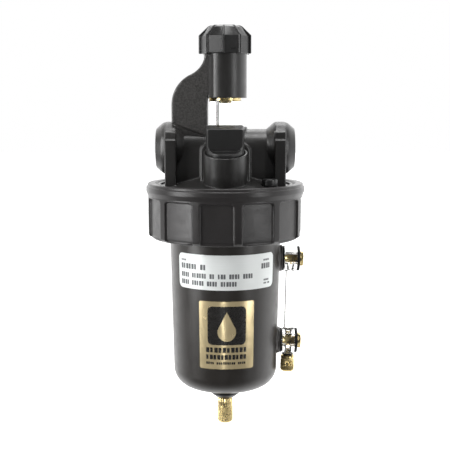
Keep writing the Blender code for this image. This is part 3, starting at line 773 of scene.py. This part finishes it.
def sheet(outline, lift, thickness):
    """A thin closed sheet that wraps the bowl. outline is (distance along the wall, height) points."""
    bm = bmesh.new()
    face = bm.faces.new([bm.verts.new((x, y, 0)) for x, y in outline])
    bmesh.ops.triangulate(bm, faces=[face])
    step = 2.0  # the sheet bends at each of these
    left, right = min(x for x, _ in outline), max(x for x, _ in outline)
    for i in range(1, int((right - left) / step)):
        geom = list(bm.verts) + list(bm.edges) + list(bm.faces)
        bmesh.ops.bisect_plane(bm, geom=geom, plane_co=(left + i * step, 0, 0), plane_no=(1, 0, 0))
    grown = bmesh.ops.extrude_face_region(bm, geom=list(bm.faces))["geom"]
    top = {v for v in grown if isinstance(v, bmesh.types.BMVert)}
    for vert in bm.verts:
        x, height = vert.co.x, vert.co.y
        radius = bowl_radius(height) + lift + (thickness if vert in top else 0)
        angle = LABEL_TURN + x / (BOWL_TOP_R + lift)
        vert.co = (radius * math.cos(angle) * MM, radius * math.sin(angle) * MM, height * MM)
    bmesh.ops.recalc_face_normals(bm, faces=bm.faces)
    mesh = bpy.data.meshes.new("sheet")
    bm.to_mesh(mesh)
    bm.free()
    mesh.shade_smooth()
    mesh.set_sharp_from_angle(angle=math.radians(50))
    return mesh


def rectangle(left, right, low, high, corner):
    return filleted([(left, low), (right, low), (right, high), (left, high)], edge=corner, steps=6)


def printed(outlines, lift):
    """One mesh of many thin printed shapes."""
    bm = bmesh.new()
    for outline in outlines:
        bm.from_mesh(sheet(outline, lift, INK))
    mesh = bpy.data.meshes.new("print")
    bm.to_mesh(mesh)
    bm.free()
    return mesh


def word_bars(left, low, height, pitch, words):
    """Blank stand-ins for a line of print: per word, a run of upright blocks of a few widths."""
    bars = []
    for word in words:
        for i in range(word):
            width = pitch * BLOCK_WIDTHS[(i + word) % 4]
            bars.append(rectangle(left, left + width, low, low + height, pitch * 0.12))
            left += pitch
        left += pitch
    return bars


def rating_plate():
    low, high = extent("rating_plate")
    top, foot, half = high.z, low.z, 37.0
    face = LABEL_GAP + STOCK
    piece("rating_plate_sheet", sheet(rectangle(-half, half, foot, top, 3.5), LABEL_GAP, STOCK), "silver_plate",
          "bowl", ["rating_plate"])
    rows = (  # left edge, distance under the top, height, pitch and the words' lengths
        (-34.5, 5.0, 1.2, 0.95, (5,)),
        (27.0, 5.0, 1.2, 0.95, (6,)),
        (-34.5, 10.2, 3.6, 2.3, (6, 2)),
        (25.2, 10.2, 3.6, 2.2, (4,)),
        (-34.5, 15.8, 3.2, 1.9, (4, 6, 2, 3, 4, 4)),
        (-34.5, 20.8, 3.2, 1.9, (4, 5, 4, 6)),
        (27.5, 18.6, 1.2, 0.85, (6,)),
        (27.5, 20.8, 1.2, 0.85, (3, 3)),
    )
    marks = []
    for left, down, height, pitch, words in rows:
        marks += word_bars(left, top - down, height, pitch, words)
    piece("rating_plate_marks", printed(marks, face), "silver_plate/ink", "bowl")


def name_plate():
    """A gold sheet with a dark panel, an oil drop in it, and bars below. The badge is a plain stand-in."""
    low, high = extent("name_plate")
    top, foot, half = high.z, low.z, 19.4
    face = LABEL_GAP + STOCK
    piece("name_plate_sheet", sheet(rectangle(-half, half, foot, top, 1.2), LABEL_GAP, STOCK), "gold_plate",
          "bowl", ["name_plate"])
    marks = [rectangle(-13.4, 13.4, top - 29.6, top - 3.4, 3.2)]
    rows = (  # distance under the top, height, pitch and the words' lengths
        (34.8, 3.4, 2.95, (10,)),
        (39.6, 3.2, 2.65, (11,)),
        (43.0, 1.6, 1.5, (4, 9, 4)),
    )
    for down, height, pitch, words in rows:
        marks += word_bars(-14.6, top - down, height, pitch, words)
    piece("name_plate_marks", printed(marks, face), "gold_plate/ink", "bowl")
    middle, radius = top - 18.6, 6.4
    tip = (0, middle + 11.6)
    drop = [tip] + [(x, y + middle - 2.2) for x, y in arc(0, 0, radius, 28, -208, 28)]
    piece("name_plate_drop", sheet(drop, face + INK, INK), "gold_plate", "bowl")


# Level gauge ----------------------------------------------------------------------------------------
SEAT_TO_COLUMN = 5.85  # from the face of the bowl's pads to the column's axis
LOWER_BOLT = 8.9  # height of the lower bolt over the column's foot


def gauge_heights():
    """The two bolts' names and their heights over the column's foot, along the column."""
    upper, lower = world_box("gauge_upper_bolt"), world_box("gauge_lower_bolt")
    lean = GAUGE_FOOT.to_3x3() @ Vector((0, 0, 1))
    rise = (upper[0].z - lower[0].z) / lean.z
    return (("lower", LOWER_BOLT), ("upper", LOWER_BOLT + rise))


def hexagon(angle, apothem):
    return apothem / math.cos((angle + math.pi / 6) % (math.pi / 3) - math.pi / 6)


def gauge_bolt():
    """A hollow bolt: chamfered hexagon head, washer face and shank, along local X."""
    head_top, crown = 14.7, 4.5

    def section(angle):
        flat = hexagon(angle, 4.75)
        rows = [(0, head_top - 0.5), (2.6, head_top - 0.5), (3.0, head_top), (crown, head_top)]
        rows += [(min(flat, crown + 2.0 * drop), head_top - drop) for drop in (0.15, 0.3, 0.45, 0.6)]
        rows += [(flat, 13.4), (flat, 12.75), (5.0, 12.7), (5.0, 12.35), (2.9, 12.3), (2.9, -4.6)]
        rows += [(2.6, -4.9), (0, -4.9)]
        return rows
    return moved(spun("bolt", section, 96, closed=False), POINTS_RIGHT)


def gauge_column(heights):
    """One clear piece: a round end at each bolt, a tube between them and a foot for the drain screw."""
    seat = shift(x=-SEAT_TO_COLUMN)
    disc = [(8.75, 1.5, 0.5), (8.75, 10.2, 0.5), (3.3, 10.2, 0.3), (3.3, 1.5, 0.3)]
    discs = [moved(lathe("disc", disc), seat @ shift(z=h) @ POINTS_RIGHT) for h in heights.values()]
    tube = cylinder("tube", (0, 0, heights["lower"] + 6), (0, 0, heights["upper"] - 6), 4.0)
    foot = cylinder("foot", (0, 0, 0), (0, 0, heights["lower"] - 5), 4.3)
    bore = cylinder("bore", (0, 0, -3), (0, 0, heights["upper"] + 1), 2.5)
    return carved(discs[0], [discs[1], tube, foot], [bore], voxel=0.3, smoothing=5, keep=0.5)


def gauge_drain():
    """The small drain screw: a plain collar over a straight-knurled head."""
    knurls, grip = 30, 4.9

    def section(angle):
        groove = 0.45 * (0.5 - 0.5 * math.cos(knurls * angle))
        rows = [(0, 5), (1.6, 5), (2.0, 4.6), (2.0, -2.0)]
        rows += [(grip - 0.4, -2.0), (grip - 0.1, -2.3), (grip - 0.1, -4.2)]
        rows += [(grip - 0.5, -4.5), (grip - 0.5, -5.0)]
        rows += [(grip - groove, -5.3), (grip - groove, -12.0), (grip - 0.8, -13.1)]
        rows += [(1.4, -13.1), (1.2, -12.9), (1.2, -6), (0, -6)]
        return rows
    return spun("gauge_drain", section, 240, closed=False)


def level_gauge():
    heights = dict(gauge_heights())
    piece("gauge_column_clear", gauge_column(heights), "clear_glass/acrylic", "bowl", ["gauge_column"],
          GAUGE_FOOT)
    for name, height in heights.items():
        at_height = GAUGE_FOOT @ shift(x=-SEAT_TO_COLUMN) @ shift(z=height)
        for side, start, end in (("inner", 0.3, 1.2), ("outer", 10.5, 12.0)):
            washer = [(8.6, start), (8.6, end), (3.4, end), (3.4, start)]
            piece(f"gauge_{name}_{side}_gasket", lathe("gasket", washer, 0.25), "black_rubber", "bowl",
                  [f"gauge_{name}_{side}_seal"], at_height @ POINTS_RIGHT)
        piece(f"gauge_{name}_bolt_hex", gauge_bolt(), "brass", "bowl", [f"gauge_{name}_bolt"], at_height)
    piece("gauge_drain_screw", gauge_drain(), "brass", "gauge_drain_plug", ["gauge_drain_plug"], GAUGE_FOOT)
    piece("gauge_drain_o_ring", ring_cord("seal", 3.4, 0.55, -1.0), "black_rubber", "gauge_drain_seal",
          ["gauge_drain_seal"], GAUGE_FOOT)


# Bowl drain -----------------------------------------------------------------------------------------
def drain_knob():
    """A fluted collar over a diamond-knurled grip, on a long hollow stem."""
    low, high = extent("drain_knob")
    top, foot, grip = high.z, low.z, high.x
    collar_top, knurl_top = -177.0, -183.4
    collar, neck, stem, groove, bore = grip - 0.8, grip - 0.6, 2.4, 1.5, 0.9
    flutes, flute_depth = 20, 0.4
    diamonds, pitch, knurl_depth = 34, 0.95, 0.45
    knurl_rows = np.linspace(knurl_top - 0.25, foot + 1.2, 72)

    def section(angle):
        fluted = grip - 0.1 - flute_depth * (0.5 - 0.5 * math.cos(flutes * angle))
        rows = [(0, top), (bore, top), (stem, top - 1.6), (stem, -171.2), (groove, -171.2), (groove, -173.4)]
        rows += [(stem, -173.4), (stem, collar_top), (collar, collar_top), (fluted, collar_top - 0.4)]
        rows += [(fluted, knurl_top + 0.9), (neck, knurl_top + 0.5), (neck, knurl_top)]
        for z in knurl_rows:
            turn = TAU * z / (pitch * 2)
            spikes = abs(math.sin(diamonds / 2 * angle + turn) * math.sin(diamonds / 2 * angle - turn))
            rows.append((grip - knurl_depth + knurl_depth * spikes ** 0.5, z))
        rows += [(grip - 0.9, foot + 0.2), (grip - 1.2, foot), (1.2, foot), (bore, foot + 0.3)]
        rows += [(bore, -167), (0, -167)]
        return rows
    return spun("drain_knob", section, 272, closed=False)


def bowl_drain():
    low, high = extent("drain_fitting")
    washer_foot = high.z - 3.2
    fitting = [
        (8.2, high.z), (8.2, washer_foot), (4.8, washer_foot), (4.8, low.z), (3.0, low.z), (3.0, low.z + 13.1),
        (1.5, low.z + 14.3), (1.5, high.z),
    ]
    piece("drain_fitting_body", lathe("fitting", fitting, 0.2), "brass", "bowl", ["drain_fitting"])
    low, high = extent("drain_gasket")
    gasket = [(8.4, high.z), (8.4, low.z), (5.5, low.z), (5.5, high.z)]
    piece("drain_gasket_ring", lathe("gasket", gasket, 0.25), "black_rubber", "bowl", ["drain_gasket"])
    low, high = extent("drain_nut")
    nut = [(10.3, high.z, 0.3), (10.3, high.z - 1.5, 1.5), (6.9, low.z, 0.8), (5.2, low.z), (5.2, high.z)]
    piece("drain_nut_dome", lathe("nut", nut), "black_nylon/plug", "bowl", ["drain_nut"])
    piece("drain_knob_knurled", drain_knob(), "brass", "drain_knob", ["drain_knob"])
    piece("drain_o_ring", ring_cord("seal", 2.25, 0.4, -172.3), "black_rubber", "drain_seal", ["drain_seal"])


# CAD nodes that stay --------------------------------------------------------------------------------
def dress_cad_nodes():
    """Gives the CAD nodes that aren't replaced their finishes and eased edges."""
    slots = {part["node"]: part["material_slot"] for part in frame["record"]["subparts"]}
    for name, obj in frame["nodes"].items():
        if obj.hide_render:
            continue
        if not obj.material_slots:
            obj.data.materials.append(None)
        for material_slot in obj.material_slots:
            material_slot.material = finishes[slots[name]]
        bevel = obj.modifiers.new("eased_edges", "BEVEL")
        bevel.width = 0.1 * MM
        bevel.segments = 2
        bevel.limit_method = "ANGLE"
        bevel.angle_limit = math.radians(40)


# Stage ----------------------------------------------------------------------------------------------
FLOOR_DROP = 16  # the bowl and its drain come down by 14 mm, and must clear the floor
FLOOR_HALF = 4.0  # metres
DIM, BRIGHT = 0.095, 2.0  # the world's strength on the camera's side and on the far side
CAMERA_ABOVE_PORTS, CAMERA_PITCH = 27.9, 7.72  # mm, and degrees below level


def floor():
    """A plain pale floor under the drain knob. Only the camera sees it: the black parts take their
    reflections from the world and the soft boxes alone."""
    bm = bmesh.new()
    bmesh.ops.create_grid(bm, x_segments=8, y_segments=8, size=FLOOR_HALF)
    mesh = bpy.data.meshes.new("floor")
    bm.to_mesh(mesh)
    bm.free()
    obj = bpy.data.objects.new("floor", mesh)
    bpy.context.scene.collection.objects.link(obj)
    obj.location.z = cad_box[0].z - FLOOR_DROP * MM
    obj.visible_diffuse = False
    obj.visible_glossy = False
    obj.visible_transmission = False
    obj.visible_shadow = False
    n = Nodes("pale_floor")
    pale = n.mix(n.ranged(n.noise(3, 3), 0, 1), (0.90, 0.90, 0.90), (0.93, 0.93, 0.93))
    n.join(pale, n.shader.inputs["Base Color"])
    n.shader.inputs["Roughness"].default_value = 0.8
    n.shader.inputs["Emission Color"].default_value = (1, 1, 1, 1)
    n.shader.inputs["Emission Strength"].default_value = 0.6
    mesh.materials.append(n.material)


def world():
    """White to the camera. To everything else it brightens smoothly from the camera's side to the far
    side, and a little towards the right and downwards."""
    made = bpy.data.worlds.new("studio")
    bpy.context.scene.world = made
    made.use_nodes = True
    tree = made.node_tree
    tree.nodes.clear()
    direction = tree.nodes.new("ShaderNodeTexCoord").outputs["Generated"]
    strength = tree.nodes.new("ShaderNodeMix")
    strength.inputs[3].default_value = 1.0
    tree.links.new(tree.nodes.new("ShaderNodeLightPath").outputs["Is Camera Ray"], strength.inputs[0])
    along = tree.nodes.new("ShaderNodeVectorMath")
    along.operation = "DOT_PRODUCT"
    along.inputs[1].default_value = (0.25, 1.0, -0.35)
    tree.links.new(direction, along.inputs[0])
    ramp = tree.nodes.new("ShaderNodeMapRange")
    ramp.interpolation_type = "SMOOTHSTEP"
    for key, value in (("From Min", -0.35), ("From Max", 0.6), ("To Min", DIM), ("To Max", BRIGHT)):
        ramp.inputs[key].default_value = value
    tree.links.new(along.outputs["Value"], ramp.inputs["Value"])
    tree.links.new(ramp.outputs["Result"], strength.inputs[2])
    background = tree.nodes.new("ShaderNodeBackground")
    background.inputs["Color"].default_value = (1, 1, 1, 1)
    tree.links.new(strength.outputs[0], background.inputs["Strength"])
    output = tree.nodes.new("ShaderNodeOutputWorld")
    tree.links.new(background.outputs["Background"], output.inputs["Surface"])


def soft_box(name, azimuth, distance, height, width, tall, power):
    """An area light aimed at the object's middle. azimuth is in degrees from the camera's side, power in
    watts and the rest in metres."""
    data = bpy.data.lights.new(name, "AREA")
    data.shape = "RECTANGLE"
    data.size = width
    data.size_y = tall
    data.energy = power
    lamp = bpy.data.objects.new(name, data)
    bpy.context.scene.collection.objects.link(lamp)
    turn = math.radians(azimuth)
    lamp.location = (math.sin(turn) * distance, -math.cos(turn) * distance, height)
    middle = (cad_box[0] + cad_box[1]) / 2
    lamp.rotation_euler = (middle - lamp.location).to_track_quat("-Z", "Y").to_euler()


def lights():
    world()
    soft_box("left_box", -64, 0.9, 0.30, 0.34, 0.9, 10.5)
    soft_box("right_box", 50, 0.9, 0.30, 0.15, 0.9, 3.6)
    soft_box("front_strip", -4, 0.9, -0.10, 0.022, 0.30, 0.16)
    soft_box("top_box", 0, 0.12, 1.15, 0.6, 0.5, 8.0)
    soft_box("back_box", 170, 0.7, 1.1, 0.6, 0.4, 3.0)


def camera():
    """A little above the ports and looking slightly down, with the whole part in the frame. Its place is
    in metres."""
    data = bpy.data.cameras.new("camera")
    data.lens = 69.6
    data.sensor_width = 36.0
    obj = bpy.data.objects.new("camera", data)
    bpy.context.scene.collection.objects.link(obj)
    obj.location = (-0.0002, -0.600, (PORT_HEIGHT + CAMERA_ABOVE_PORTS) * MM)
    obj.rotation_euler = (math.radians(90 - CAMERA_PITCH), 0, 0)
    bpy.context.scene.camera = obj


head()
head_skirt()
port_threads()
sight_feed()
adjusting_knob()
fill_plug()
vent_screw()
clamp_ring()
bowl()
rating_plate()
name_plate()
level_gauge()
bowl_drain()
dress_cad_nodes()
floor()
lights()
camera()
bpy.context.scene.view_settings.view_transform = "Standard"
